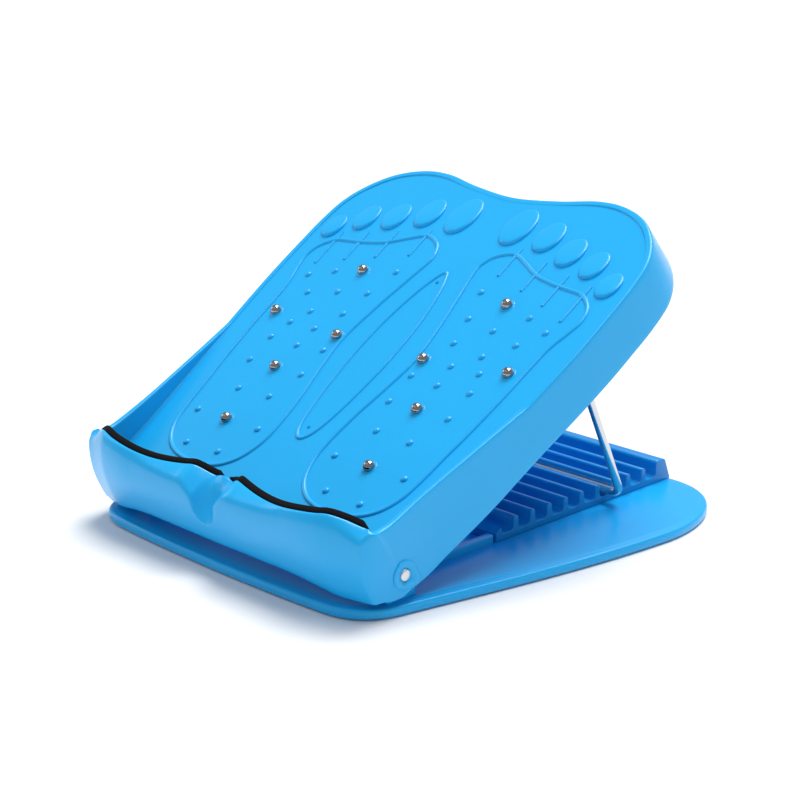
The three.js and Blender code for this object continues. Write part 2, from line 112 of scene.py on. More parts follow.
# ---------- small maths ----------
def smooth_keys(keys, x):
    """A smooth curve through (x, value) keys, read at x."""
    kx = np.array([k[0] for k in keys], float)
    ky = np.array([k[1] for k in keys], float)
    slope = np.gradient(ky, kx)
    x = np.clip(np.asarray(x, float), kx[0], kx[-1])
    i = np.clip(np.searchsorted(kx, x, side="right") - 1, 0, len(kx) - 2)
    step = kx[i + 1] - kx[i]
    t = (x - kx[i]) / step
    return (
        (2 * t**3 - 3 * t**2 + 1) * ky[i]
        + (t**3 - 2 * t**2 + t) * step * slope[i]
        + (-2 * t**3 + 3 * t**2) * ky[i + 1]
        + (t**3 - t**2) * step * slope[i + 1]
    )


def ease(x, low, high):
    t = np.clip((np.asarray(x, float) - low) / (high - low), 0, 1)
    return t * t * (3 - 2 * t)


def spline_through(points, steps, closed=False):
    """A dense smooth line through the points."""
    p = np.array(points, float)
    count = len(p)
    out = []
    spans = count if closed else count - 1
    for i in range(spans):
        if closed:
            a, b, c, d = p[i - 1], p[i], p[(i + 1) % count], p[(i + 2) % count]
        else:
            b, c = p[i], p[i + 1]
            a = p[i - 1] if i else 2 * b - c
            d = p[i + 2] if i + 2 < count else 2 * c - b
        for k in range(steps):
            t = k / steps
            out.append(0.5 * (
                2 * b + (c - a) * t + (2 * a - 5 * b + 4 * c - d) * t * t
                + (3 * b - a - 3 * c + d) * t**3
            ))
    if not closed:
        out.append(p[-1])
    return np.array(out)


def resample(line, places):
    """Points of a dense line at shares (0 to 1) of its length."""
    run = np.r_[0, np.cumsum(np.linalg.norm(np.diff(line, axis=0), axis=1))]
    s = np.asarray(places) * run[-1]
    return np.stack([np.interp(s, run, line[:, k]) for k in range(line.shape[1])], 1)


def normals_of(line):
    d = np.gradient(line, axis=0)
    d /= np.linalg.norm(d, axis=1)[:, None]
    return np.stack([d[:, 1], -d[:, 0]], 1)


# ---------- mesh helpers ----------
def mesh_of(name, verts, faces, place, material=None, smooth=True, uv=None):
    mesh = bpy.data.meshes.new(name)
    mesh.from_pydata([tuple(map(float, v)) for v in verts], [], [tuple(f) for f in faces])
    if uv is not None:
        layer = mesh.uv_layers.new(name="plan")
        loops = np.zeros(len(mesh.loops), np.int32)
        mesh.loops.foreach_get("vertex_index", loops)
        layer.data.foreach_set("uv", np.asarray(uv, float)[loops].astype(np.float32).ravel())
    bm = bmesh.new()
    bm.from_mesh(mesh)
    bmesh.ops.remove_doubles(bm, verts=bm.verts, dist=1e-4)
    bmesh.ops.dissolve_degenerate(bm, edges=bm.edges, dist=1e-5)
    bmesh.ops.recalc_face_normals(bm, faces=bm.faces)
    bm.to_mesh(mesh)
    bm.free()
    mesh.transform(place)
    if smooth:
        mesh.shade_smooth()
    if material:
        mesh.materials.append(material)
    obj = bpy.data.objects.new(name, mesh)
    bpy.context.scene.collection.objects.link(obj)
    return obj


def with_modifiers(obj, *settings):
    """Applies modifiers, given as (type, {attribute: value}), to a finished mesh."""
    for kind, values in settings:
        modifier = obj.modifiers.new(kind.lower(), kind)
        for key, value in values.items():
            setattr(modifier, key, value)
    return baked(obj)


def baked(obj, place=None):
    """The evaluated object as a plain mesh object of the same name."""
    name = obj.name
    bpy.context.view_layer.update()
    graph = bpy.context.evaluated_depsgraph_get()
    mesh = bpy.data.meshes.new_from_object(obj.evaluated_get(graph), depsgraph=graph)
    obj.modifiers.clear()
    bpy.data.objects.remove(obj)
    if place is not None:
        mesh.transform(place)
    mesh.name = name
    result = bpy.data.objects.new(name, mesh)
    bpy.context.scene.collection.objects.link(result)
    return result


def joined(name, parts):
    bm = bmesh.new()
    slots = []
    for part in parts:
        offset = []
        for material in part.data.materials:
            if material not in slots:
                slots.append(material)
            offset.append(slots.index(material))
        start = len(bm.faces)
        bm.from_mesh(part.data)
        bm.faces.ensure_lookup_table()
        for face in bm.faces[start:]:
            face.material_index = offset[face.material_index] if offset else 0
    mesh = bpy.data.meshes.new(name)
    bm.to_mesh(mesh)
    bm.free()
    for material in slots:
        mesh.materials.append(material)
    for part in parts:
        bpy.data.objects.remove(part)
    obj = bpy.data.objects.new(name, mesh)
    bpy.context.scene.collection.objects.link(obj)
    return obj


def loft(rings, close_stations=False, close_profile=False):
    """Vertices and quads over an array of (stations, profile points, 3)."""
    rows, cols = rings.shape[:2]
    verts = rings.reshape(-1, 3)
    faces = []
    for i in range(rows if close_stations else rows - 1):
        j = (i + 1) % rows
        for k in range(cols if close_profile else cols - 1):
            m = (k + 1) % cols
            faces.append((i * cols + k, j * cols + k, j * cols + m, i * cols + m))
    return verts, faces


def turned(profile, sides, centre, axis="x"):
    """A closed solid of revolution from (along, radius) pairs."""
    angle = np.linspace(0, 2 * np.pi, sides, endpoint=False)
    rings = np.zeros((len(profile), sides, 3))
    for i, (along, radius) in enumerate(profile):
        a, b = radius * np.cos(angle), radius * np.sin(angle)
        if axis == "x":
            rings[i] = np.stack([np.full(sides, along), a, b], 1)
        else:
            rings[i] = np.stack([a, b, np.full(sides, along)], 1)
    rings += np.array(centre, float)
    verts, faces = loft(rings, close_profile=True)
    count = len(profile)
    faces.append(tuple(range(sides)))
    faces.append(tuple((count - 1) * sides + k for k in reversed(range(sides))))
    return verts, faces


def block_mesh(x0, x1, y0, y1, z0, z1):
    verts = [(x, y, z) for x in (x0, x1) for y in (y0, y1) for z in (z0, z1)]
    faces = [(0, 1, 3, 2), (4, 6, 7, 5), (0, 4, 5, 1), (2, 3, 7, 6), (0, 2, 6, 4), (1, 5, 7, 3)]
    return np.array(verts, float), faces


def prism(profile, x0, x1):
    """A (y, z) outline drawn out between two x planes."""
    count = len(profile)
    verts = [(x, y, z) for x in (x0, x1) for y, z in profile]
    faces = [tuple(range(count)), tuple(range(2 * count - 1, count - 1, -1))]
    faces += [(k, (k + 1) % count, count + (k + 1) % count, count + k) for k in range(count)]
    return np.array(verts, float), faces


def line_object(name, lines, closed):
    curve = bpy.data.curves.new(name, "CURVE")
    curve.dimensions = "3D"
    for points in lines:
        spline = curve.splines.new("POLY")
        spline.points.add(len(points) - 1)
        for place, point in zip(spline.points, points):
            place.co = (*map(float, point), 1)
        spline.use_cyclic_u = closed
    obj = bpy.data.objects.new(name, curve)
    bpy.context.scene.collection.objects.link(obj)
    return obj


# ---------- node trees that repeat or sweep ----------
def add_input(tree, name, kind, value=None):
    socket = tree.interface.new_socket(name=name, in_out="INPUT", socket_type=kind)
    if value is not None:
        socket.default_value = value
    return socket


def node(tree, kind, **inputs):
    made = tree.nodes.new(kind)
    for name, value in inputs.items():
        made.inputs[name.replace("_", " ")].default_value = value
    return made


def finish_tree(tree, geometry, material_socket, group_out):
    realize = tree.nodes.new("GeometryNodeRealizeInstances")
    smooth = tree.nodes.new("GeometryNodeSetShadeSmooth")
    paint = tree.nodes.new("GeometryNodeSetMaterial")
    tree.links.new(geometry, realize.inputs["Geometry"])
    tree.links.new(realize.outputs["Geometry"], smooth.inputs["Geometry"])
    tree.links.new(smooth.outputs["Geometry"], paint.inputs["Geometry"])
    tree.links.new(material_socket, paint.inputs["Material"])
    tree.links.new(paint.outputs["Geometry"], group_out.inputs["Geometry"])


def sweep_tree():
    """A round bead or wire that follows every line of the curve it is put on."""
    tree = bpy.data.node_groups.new("round_sweep", "GeometryNodeTree")
    add_input(tree, "Geometry", "NodeSocketGeometry")
    add_input(tree, "Radius", "NodeSocketFloat", 1.0)
    add_input(tree, "Sides", "NodeSocketInt", 12)
    add_input(tree, "Material", "NodeSocketMaterial")
    tree.interface.new_socket(name="Geometry", in_out="OUTPUT", socket_type="NodeSocketGeometry")
    inside = tree.nodes.new("NodeGroupInput")
    outside = tree.nodes.new("NodeGroupOutput")
    circle = tree.nodes.new("GeometryNodeCurvePrimitiveCircle")
    sweep = node(tree, "GeometryNodeCurveToMesh", Fill_Caps=True)
    tree.links.new(inside.outputs["Radius"], circle.inputs["Radius"])
    tree.links.new(inside.outputs["Sides"], circle.inputs["Resolution"])
    tree.links.new(inside.outputs["Geometry"], sweep.inputs["Curve"])
    tree.links.new(circle.outputs["Curve"], sweep.inputs["Profile Curve"])
    finish_tree(tree, sweep.outputs["Mesh"], inside.outputs["Material"], outside)
    return tree


def dome_tree():
    """A ball or flattened dome standing on every point of the mesh it is put on."""
    tree = bpy.data.node_groups.new("domes_on_points", "GeometryNodeTree")
    add_input(tree, "Geometry", "NodeSocketGeometry")
    add_input(tree, "Radius", "NodeSocketFloat", 1.0)
    add_input(tree, "Flatness", "NodeSocketFloat", 1.0)
    add_input(tree, "Segments", "NodeSocketInt", 24)
    add_input(tree, "Rings", "NodeSocketInt", 12)
    add_input(tree, "Material", "NodeSocketMaterial")
    tree.interface.new_socket(name="Geometry", in_out="OUTPUT", socket_type="NodeSocketGeometry")
    inside = tree.nodes.new("NodeGroupInput")
    outside = tree.nodes.new("NodeGroupOutput")
    ball = tree.nodes.new("GeometryNodeMeshUVSphere")
    scale = tree.nodes.new("ShaderNodeCombineXYZ")
    scale.inputs["X"].default_value = 1
    scale.inputs["Y"].default_value = 1
    squash = tree.nodes.new("GeometryNodeTransform")
    place = tree.nodes.new("GeometryNodeInstanceOnPoints")
    tree.links.new(inside.outputs["Radius"], ball.inputs["Radius"])
    tree.links.new(inside.outputs["Segments"], ball.inputs["Segments"])
    tree.links.new(inside.outputs["Rings"], ball.inputs["Rings"])
    tree.links.new(inside.outputs["Flatness"], scale.inputs["Z"])
    tree.links.new(ball.outputs["Mesh"], squash.inputs["Geometry"])
    tree.links.new(scale.outputs["Vector"], squash.inputs["Scale"])
    tree.links.new(inside.outputs["Geometry"], place.inputs["Points"])
    tree.links.new(squash.outputs["Geometry"], place.inputs["Instance"])
    finish_tree(tree, place.outputs["Instances"], inside.outputs["Material"], outside)
    return tree


def grown(obj, tree, place, **values):
    """Puts a tree on an object with the given inputs and returns the plain result."""
    modifier = obj.modifiers.new(tree.name, "NODES")
    modifier.node_group = tree
    ids = {s.name: s.identifier for s in tree.interface.items_tree if s.in_out == "INPUT"}
    for name, value in values.items():
        modifier[ids[name.replace("_", " ")]] = value
    return baked(obj, place)


SWEEP = sweep_tree()
DOMES = dome_tree()


# ---------- shader groups ----------
def shader_group(name, inputs, outputs):
    tree = bpy.data.node_groups.new(name, "ShaderNodeTree")
    for label, kind, value in inputs:
        add_input(tree, label, kind, value)
    for label, kind in outputs:
        tree.interface.new_socket(name=label, in_out="OUTPUT", socket_type=kind)
    return tree, tree.nodes.new("NodeGroupInput"), tree.nodes.new("NodeGroupOutput")


def maths(tree, operation, a, b=None, clamp=False):
    made = tree.nodes.new("ShaderNodeMath")
    made.operation = operation
    made.use_clamp = clamp
    for socket, value in zip(made.inputs, (a, b)):
        if value is None:
            continue
        if isinstance(value, (int, float)):
            socket.default_value = value
        else:
            tree.links.new(value, socket)
    return made.outputs[0]


def noise(tree, vector, scale, detail=3.0, roughness=0.5):
    made = tree.nodes.new("ShaderNodeTexNoise")
    made.inputs["Detail"].default_value = detail
    made.inputs["Roughness"].default_value = roughness
    tree.links.new(vector, made.inputs["Vector"])
    if isinstance(scale, (int, float)):
        made.inputs["Scale"].default_value = scale
    else:
        tree.links.new(scale, made.inputs["Scale"])
    return made.outputs["Fac"]


def tone_group():
    """Slow shifts of colour and gloss over a surface."""
    tree, inside, outside = shader_group(
        "slow_tone",
        [("Colour", "NodeSocketColor", (0.5, 0.5, 0.5, 1)),
         ("Patch Scale", "NodeSocketFloat", 12.0),
         ("Colour Shift", "NodeSocketFloat", 0.05),
         ("Roughness", "NodeSocketFloat", 0.3),
         ("Roughness Shift", "NodeSocketFloat", 0.05)],
        [("Colour", "NodeSocketColor"), ("Roughness", "NodeSocketFloat")])
    place = tree.nodes.new("ShaderNodeTexCoord")
    patch = noise(tree, place.outputs["Object"], inside.outputs["Patch Scale"], 4.0, 0.55)
    centred = maths(tree, "SUBTRACT", patch, 0.5)
    shift = maths(tree, "MULTIPLY", centred, inside.outputs["Colour Shift"])
    level = maths(tree, "MULTIPLY_ADD", shift, 2.0)
    level.node.inputs[2].default_value = 1.0
    tint = tree.nodes.new("ShaderNodeVectorMath")
    tint.operation = "SCALE"
    tree.links.new(inside.outputs["Colour"], tint.inputs[0])
    tree.links.new(level, tint.inputs["Scale"])
    tree.links.new(tint.outputs["Vector"], outside.inputs["Colour"])
    gloss = maths(tree, "MULTIPLY", centred, inside.outputs["Roughness Shift"])
    rough = maths(tree, "MULTIPLY_ADD", gloss, 2.0)
    tree.links.new(inside.outputs["Roughness"], rough.node.inputs[2])
    tree.links.new(rough, outside.inputs["Roughness"])
    return tree


def relief_group():
    """Bump height from a fine grain laid over a slow waviness."""
    tree, inside, outside = shader_group(
        "grain_and_wave",
        [("Grain Scale", "NodeSocketFloat", 2500.0),
         ("Grain Height", "NodeSocketFloat", 0.1),
         ("Wave Scale", "NodeSocketFloat", 25.0),
         ("Wave Height", "NodeSocketFloat", 1.0)],
        [("Height", "NodeSocketFloat")])
    place = tree.nodes.new("ShaderNodeTexCoord")
    grain = noise(tree, place.outputs["Object"], inside.outputs["Grain Scale"], 2.0, 0.6)
    wave = noise(tree, place.outputs["Object"], inside.outputs["Wave Scale"], 1.0, 0.4)
    fine = maths(tree, "MULTIPLY", grain, inside.outputs["Grain Height"])
    slow = maths(tree, "MULTIPLY", wave, inside.outputs["Wave Height"])
    tree.links.new(maths(tree, "ADD", fine, slow), outside.inputs["Height"])
    return tree


def scuff_group():
    """A mask of fine hairline scuffs, crossing in two directions."""
    tree, inside, outside = shader_group(
        "hairline_scuffs",
        [("Scale", "NodeSocketFloat", 60.0), ("Amount", "NodeSocketFloat", 0.5)],
        [("Mask", "NodeSocketFloat")])
    place = tree.nodes.new("ShaderNodeTexCoord")
    masks = []
    for turn in (0.5, 2.0):
        lay = tree.nodes.new("ShaderNodeMapping")
        lay.inputs["Rotation"].default_value = (0.2, 0.1, turn)
        lay.inputs["Scale"].default_value = (1.0, 26.0, 26.0)
        tree.links.new(place.outputs["Object"], lay.inputs["Vector"])
        streak = noise(tree, lay.outputs["Vector"], inside.outputs["Scale"], 1.0, 0.5)
        masks.append(maths(tree, "GREATER_THAN", streak, 0.73))
    both = maths(tree, "MAXIMUM", masks[0], masks[1])
    tree.links.new(maths(tree, "MULTIPLY", both, inside.outputs["Amount"]), outside.inputs["Mask"])
    return tree


TONE = tone_group()
RELIEF = relief_group()
SCUFFS = scuff_group()


def use_group(tree, group, **values):
    made = tree.nodes.new("ShaderNodeGroup")
    made.node_tree = group
    for name, value in values.items():
        made.inputs[name.replace("_", " ")].default_value = value
    return made


def finish_material(name, colour, shift, rough, rough_shift, grain, wave, scuffs, bump, **shader):
    """A material with slow tone, a bumped grain and hairline scuffs around one Principled shader."""
    material = bpy.data.materials.new(name)
    material.use_nodes = True
    material.diffuse_color = (*colour, 1)
    tree = material.node_tree
    surface = tree.nodes["Principled BSDF"]
    for key, value in shader.items():
        surface.inputs[key.replace("_", " ")].default_value = value
    tone = use_group(tree, TONE, Colour=(*colour, 1), Patch_Scale=11.0, Colour_Shift=shift,
                     Roughness=rough, Roughness_Shift=rough_shift)
    tree.links.new(tone.outputs["Colour"], surface.inputs["Base Color"])
    marks = use_group(tree, SCUFFS, Scale=scuffs[0], Amount=scuffs[1])
    worn = maths(tree, "ADD", tone.outputs["Roughness"], marks.outputs["Mask"], clamp=True)
    tree.links.new(worn, surface.inputs["Roughness"])
    relief = use_group(tree, RELIEF, Grain_Scale=grain[0], Grain_Height=grain[1],
                       Wave_Scale=wave[0], Wave_Height=wave[1])
    raised = tree.nodes.new("ShaderNodeBump")
    raised.inputs["Strength"].default_value = bump[0]
    raised.inputs["Distance"].default_value = bump[1]
    tree.links.new(relief.outputs["Height"], raised.inputs["Height"])
    tree.links.new(raised.outputs["Normal"], surface.inputs["Normal"])
    return material


def sink_marks(material):
    """Faint lines on the deck where the ribs underneath have drawn the plastic in."""
    tree = material.node_tree
    bump = next(n for n in tree.nodes if n.type == "BUMP")
    before = bump.inputs["Height"].links[0].from_socket
    plan = tree.nodes.new("ShaderNodeUVMap")
    plan.uv_map = "plan"
    split = tree.nodes.new("ShaderNodeSeparateXYZ")
    tree.links.new(plan.outputs["UV"], split.inputs["Vector"])
    total = None
    for axis, places in (("X", (-90, -30, 30, 90)), ("Y", (20, 68, 118, 206))):
        for place in places:
            away = maths(tree, "ABSOLUTE", maths(tree, "SUBTRACT", split.outputs[axis], place * MM))
            near = maths(tree, "MULTIPLY_ADD", away, -420.0, clamp=True)
            near.node.inputs[2].default_value = 1.0
            line = maths(tree, "MULTIPLY", maths(tree, "MULTIPLY", near, near), -0.22)
            total = line if total is None else maths(tree, "ADD", total, line)
    tree.links.new(maths(tree, "ADD", before, total), bump.inputs["Height"])
    return material


BLUE = (0.010, 0.430, 0.900)
BLUE_LOOK = dict(
    colour=BLUE, shift=0.035, rough=0.24, rough_shift=0.05, grain=(2600.0, 0.05),
    wave=(22.0, 1.0), scuffs=(70.0, 0.012), bump=(0.25, 0.0006), IOR=1.45,
    Specular_IOR_Level=0.45)
blue_plastic = finish_material("sky_blue_plastic", **BLUE_LOOK)
deck_plastic = sink_marks(finish_material("sky_blue_deck", **BLUE_LOOK))
# Same blue plastic as the base, with its colour deepened: painted shade for the dark grooves under the
# board.
shade_darkened_rack_plastic = finish_material("rack_blue_painted_shade", **{**BLUE_LOOK, "colour": (0.006, 0.27, 0.66)})
black_foam = finish_material(
    "black_foam", colour=(0.006, 0.005, 0.006), shift=0.25, rough=0.86, rough_shift=0.06,
    grain=(1500.0, 1.0), wave=(160.0, 0.6), scuffs=(60.0, 0.0), bump=(0.7, 0.0006),
    Specular_IOR_Level=0.12)
bright_steel = finish_material(
    "bright_plated_wire", colour=(0.62, 0.64, 0.66), shift=0.06, rough=0.16, rough_shift=0.06,
    grain=(1800.0, 0.10), wave=(60.0, 0.4), scuffs=(90.0, 0.12), bump=(0.18, 0.0003), Metallic=1.0)
# Ball steel is given a darker colour than real steel: painted dark reflection of surroundings the scene
# does not have.
polished_steel = finish_material(
    "ball_steel_painted_dark_reflection", colour=(0.34, 0.34, 0.35), shift=0.02, rough=0.06, rough_shift=0.02,
    grain=(3000.0, 0.02), wave=(120.0, 0.1), scuffs=(220.0, 0.05), bump=(0.08, 0.0002),
    Metallic=1.0)
zinc_steel = finish_material(
    "zinc_plated_steel", colour=(0.66, 0.68, 0.70), shift=0.08, rough=0.34, rough_shift=0.10,
    grain=(2200.0, 0.4), wave=(200.0, 0.4), scuffs=(200.0, 0.12), bump=(0.25, 0.0003),
    Metallic=0.9)
black_rubber = finish_material(
    "black_rubber", colour=(0.022, 0.022, 0.023), shift=0.15, rough=0.78, rough_shift=0.06,
    grain=(1600.0, 0.6), wave=(90.0, 0.4), scuffs=(120.0, 0.08), bump=(0.4, 0.0004))


def place_piece(obj, body, finish_slot, *nodes):
    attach(obj, body)
    if nodes:
        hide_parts(*nodes)
    return obj


# ---------- the board's shape ----------
STOP_FACE = [
    (0, -34.6), (6, -35), (12, -36.2), (18, -37.3), (24, -38.6), (30, -40), (45, -43.2),
    (60, -45.3), (75, -46.3), (90, -45.6), (105, -43.2), (118, -39.4), (130, -36.0), (136.6, -34.6),
]
CREST = [
    (0, 27.2), (3.5, 26.6), (8, 25.2), (12, 27.4), (18, 31.6), (22, 33.9), (24, 34.3),
    (30, 34.2), (45, 34.6),
    (60, 35.4), (75, 37.3), (90, 39), (105, 39.6), (111, 39.7), (114, 39.0), (118, 37.3), (124, 34.1),
    (130, 30.0), (136.6, 27.0),
]
FRONT_EDGE = [
    (0, -66.5), (60, -66.2), (95, -65.6), (103, -65.3), (112, -64.6), (120.5, -62.8),
    (127.5, -61.2), (136.6, -59.2),
]
FRONT_EDGE_W = [
    (0, -5.1), (55, -5.0), (70, -5.3), (80, -6.2), (90, -8), (100, -10.5), (112, -13.5),
    (120.5, -15.8), (127.5, -17.2), (136.6, -18.2),
]
FAN_ANGLES = [-88, -86, -84, -82, -80, -78, -75, -72, -68, -63, -57, -50, -42, -33, -23, -12, 0]
FAN_CREST = [(-90, 27.0), (-60, 27.6), (-30, 26.8), (0, 24.4)]
FAN_LOW = [(-90, -18.2), (-84, -18.8), (-80, -20.4), (-75, -23.4), (-60, -27.5), (-30, -29), (0, -29.6)]
FAN_SQUARENESS = 2.25
CORNER_FLARE = 1.6
SIDE_CREST = [(-36, 24.2), (-30, 21.6), (-24, 19.4), (-16, 17.8), (0, 15.3), (100, 0.75)]
SIDE_LOW = [(-36, -29.6), (-20, -33), (2, -34), (100, -34.4), (200, -36), (300, -36)]
OUTLINE = [
    (141.3, -36), (142.0, 0), (144.9, 40), (147.7, 80), (151.2, 125), (153, 160), (153.2, 190),
    (152.8, 215), (149.5, 239), (139, 259), (121, 276), (97, 285.4), (72, 286.3), (40, 280), (0, 275.5),
]
CORNER_U, CORNER_V = 136.6, -34.6
CENTRE_CELLS, HEEL_CELLS, SIDE_CELLS = 22, 56, 130


def board_stations():
    """Right half of the wall that runs round the deck, from the heel's centre to the toe's."""
    across = np.r_[np.linspace(0, 22, CENTRE_CELLS + 1), np.linspace(22, CORNER_U, HEEL_CELLS + 1)[1:]]
    heel = dict(
        foot=np.stack([across, smooth_keys(STOP_FACE, across)], 1),
        crest=smooth_keys(CREST, across), low=smooth_keys(FRONT_EDGE_W, across))
    heel["out"] = np.tile([0.0, -1.0], (len(across), 1))
    heel["reach"] = heel["foot"][:, 1] - smooth_keys(FRONT_EDGE, across)
    heel["stop"] = np.ones(len(across))
    heel["ahead"] = np.ones(len(across))

    angle = np.array(FAN_ANGLES, float)
    fan = dict(
        foot=np.tile([CORNER_U, CORNER_V], (len(angle), 1)),
        crest=smooth_keys(FAN_CREST, angle), low=smooth_keys(FAN_LOW, angle),
        out=np.stack([np.cos(np.radians(angle)), np.sin(np.radians(angle))], 1),
        reach=np.full(len(angle), heel["reach"][-1]), stop=1 - ease(angle, -75, -15),
        ahead=-np.sin(np.radians(angle)))

    beyond_middle = (-OUTLINE[-2][0], OUTLINE[-2][1])
    line = spline_through(OUTLINE + [beyond_middle], 24)[:-24]
    out = normals_of(line)
    line = line - out * RIM_WIDTH
    line[0] = (CORNER_U, CORNER_V)
    turn = int(np.argmin(np.hypot(line[:, 0] - 135, line[:, 1] - 256)))
    parts = []
    stretches = ((slice(0, turn + 1), SIDE_CELLS), (slice(turn, None), CENTRE_CELLS + HEEL_CELLS))
    for stretch, cells in stretches:
        shares = np.linspace(0, 1, cells + 1)[1:]
        data = resample(np.hstack([line[stretch], out[stretch]]), shares)
        parts.append(data)
    data = np.vstack(parts)
    v = data[:, 1]
    beyond = np.arange(len(data)) >= SIDE_CELLS
    crest = np.where(v < 100, smooth_keys(SIDE_CREST, v), 0.75)
    crest[beyond] = 0.75 * ease(data[beyond, 0], 30, 90) + 0.12
    low = np.where(beyond, -36.0, smooth_keys(SIDE_LOW, v))
    facing = data[:, 2:] / np.linalg.norm(data[:, 2:], axis=1)[:, None]
    side = dict(
        foot=data[:, :2], crest=crest, low=low, out=facing,
        reach=np.zeros(len(data)), stop=np.zeros(len(data)), ahead=np.zeros(len(data)))
    half = {key: np.concatenate([heel[key], fan[key], side[key]]) for key in heel}
    kind = np.r_[np.zeros(len(across)), np.ones(len(angle)), np.full(len(data), 2)]
    return half, kind


STOP_FACE_DEPTH = 46.3
STOP_TOP_SHARE = 2.6
MIDDLE_U, MIDDLE_SHOULDER = 75, 37.3
CORNER_FALL_U, SHOULDER_TOP, SHOULDER_FALL = 105, 39.7, 6.0
BOW_START, BOW_END = 2.1, 0.74
SLOPE_AT_FOOT, SLOPE_GAIN = 0.22, 0.19


def side_draft(v):
    """The skirt is upright at the heel corner and leans out along the sides."""
    return 0.02 + (DRAFT - 0.02) * ease(v, -36, 60)


def outer_face(half, w):
    """How far the outer face stands from the foot of the wall at height w."""
    foot, low, reach, stop = half["foot"], half["low"], half["reach"], half["stop"]
    middle = foot[:, 0] < MIDDLE_U
    corner = foot[:, 0] > CORNER_FALL_U
    depth = np.maximum(-foot[:, 1], np.where(middle, STOP_FACE_DEPTH, -foot[:, 1]))
    set_back = np.where(stop > 0.999, depth + foot[:, 1], 0)
    falling = SHOULDER_TOP - SHOULDER_FALL * ease(foot[:, 0], CORNER_FALL_U, CORNER_U + 6)
    shoulder = np.where(middle, MIDDLE_SHOULDER, falling)
    top = np.maximum(half["crest"], np.where(middle | corner, shoulder, 0)) + 0.01
    t = np.clip((w - low) / (top - low), 0, 1)
    span = np.maximum(reach - set_back - STOP_TOP_SHARE, 1)
    bowed = set_back + STOP_TOP_SHARE + span * (1 - t**BOW_START) ** BOW_END
    ahead = half["ahead"]
    aside = np.sqrt(1 - ahead**2)
    flare = CORNER_FLARE * (1 - ease(foot[:, 1], -36, 30)) * ease(w, -15, 22)
    straight = RIM_WIDTH - side_draft(foot[:, 1]) * w + flare
    n = FAN_SQUARENESS
    slope = SLOPE_AT_FOOT + SLOPE_GAIN * ease(w, 0, 25)
    return (((ahead + slope * aside) / bowed) ** n + (aside / straight) ** n) ** (-1 / n)


def wall_profile(half):
    """Profile points round the wall, as lists of (distance out, height) over all stations."""
    crest, low, stop = half["crest"], half["low"], half["stop"]
    fillet = np.minimum(1.6, 0.42 * crest)
    inner_r = np.minimum(1.5, 0.42 * crest)
    points = [(-fillet, 0 * crest), (-0.42 * fillet, 0.12 * fillet), (-0.12 * fillet, 0.42 * fillet)]
    points += [(0 * crest, fillet), (0 * crest, crest - inner_r)]
    for a in (30, 60, 90):
        c, s = math.cos(math.radians(a)), math.sin(math.radians(a))
        points.append((inner_r * (1 - c), crest - inner_r * (1 - s)))
    outer_r = 3.6 * stop + 1.7 * (1 - stop)
    edge = outer_face(half, crest)
    below = outer_face(half, crest - outer_r)
    start = np.maximum(edge - outer_r, inner_r + 0.3)
    points.append((0.5 * (start + inner_r), crest))
    for t in (0.0, 0.25, 0.5, 0.75):
        points.append((
            (1 - t) ** 2 * start + 2 * t * (1 - t) * edge + t * t * below,
            crest - outer_r * t * t))
    for t in np.linspace(0, 1, 15):
        w = (crest - outer_r) * (1 - t) + (low + 0.9) * t
        points.append((outer_face(half, w), w))
    reach = outer_face(half, low)
    points += [(reach - 0.25, low + 0.25), (reach - 0.9, low), (reach - WALL + 0.9, low)]
    points += [(reach - WALL + 0.2, low + 0.25), (reach - WALL, low + 0.9)]
    open_share = stop * ease(half["foot"][:, 0], 13, 20)
    roof = -DECK_THICKNESS + open_share * (crest - 4.5 + DECK_THICKNESS)
    roof = np.maximum(roof, low + 1.2)
    for t in (0.3, 0.6, 0.9, 1.0):
        w = (low + 0.9) * (1 - t) + roof * t
        points.append((np.maximum(outer_face(half, w) - WALL, 1.0), w))
    near = WALL * open_share
    points += [(near + 0.4, roof), (near, roof - 0.1 * open_share)]
    points.append((near, -DECK_THICKNESS + 0.02 * open_share))
    points.append((-fillet, 0 * crest - DECK_THICKNESS))
    return points


TROUGH_RADIUS = 11.5
TROUGH_SLOPE = math.radians(28)


def trough_floor(u, v):
    """The thumb notch: a half pipe running down the front of the heel stop."""
    inside = np.maximum(TROUGH_RADIUS**2 - u**2, 0)
    axis = 25 + (v + 62) * math.tan(TROUGH_SLOPE)
    floor = axis - np.sqrt(inside) / math.cos(TROUGH_SLOPE)
    return np.where(np.abs(u) < TROUGH_RADIUS, floor, 1e3)


def soft_lower(a, b, radius):
    h = np.clip(0.5 + 0.5 * (b - a) / radius, 0, 1)
    return np.minimum(a, b * (1 - h) + a * h - radius * h * (1 - h))


# The profile's first points: the deck's fillet, the wall's inner face, its crest and its outer face.
SKIN_POINTS = 28
TROUGH_LOWEST_W, TROUGH_FRONT_V, TROUGH_SOFTNESS = 6, -36.5, 0.7


def wall_rings(half):
    profile = wall_profile(half)
    rings = np.zeros((len(half["crest"]), len(profile), 3))
    for k, (away, height) in enumerate(profile):
        plan = half["foot"] + half["out"] * away[:, None]
        w = np.array(height, float)
        if k < SKIN_POINTS:
            lowered = soft_lower(w, trough_floor(plan[:, 0], plan[:, 1]), TROUGH_SOFTNESS)
            inside = (np.abs(plan[:, 0]) < TROUGH_RADIUS + 0.5) & (w > TROUGH_LOWEST_W)
            inside = inside & (plan[:, 1] < TROUGH_FRONT_V)
            w = np.where(inside, lowered, w)
        rings[:, k, :2] = plan
        rings[:, k, 2] = w
    return rings


def mirrored(points):
    out = points.copy()
    out[..., 0] *= -1
    return out


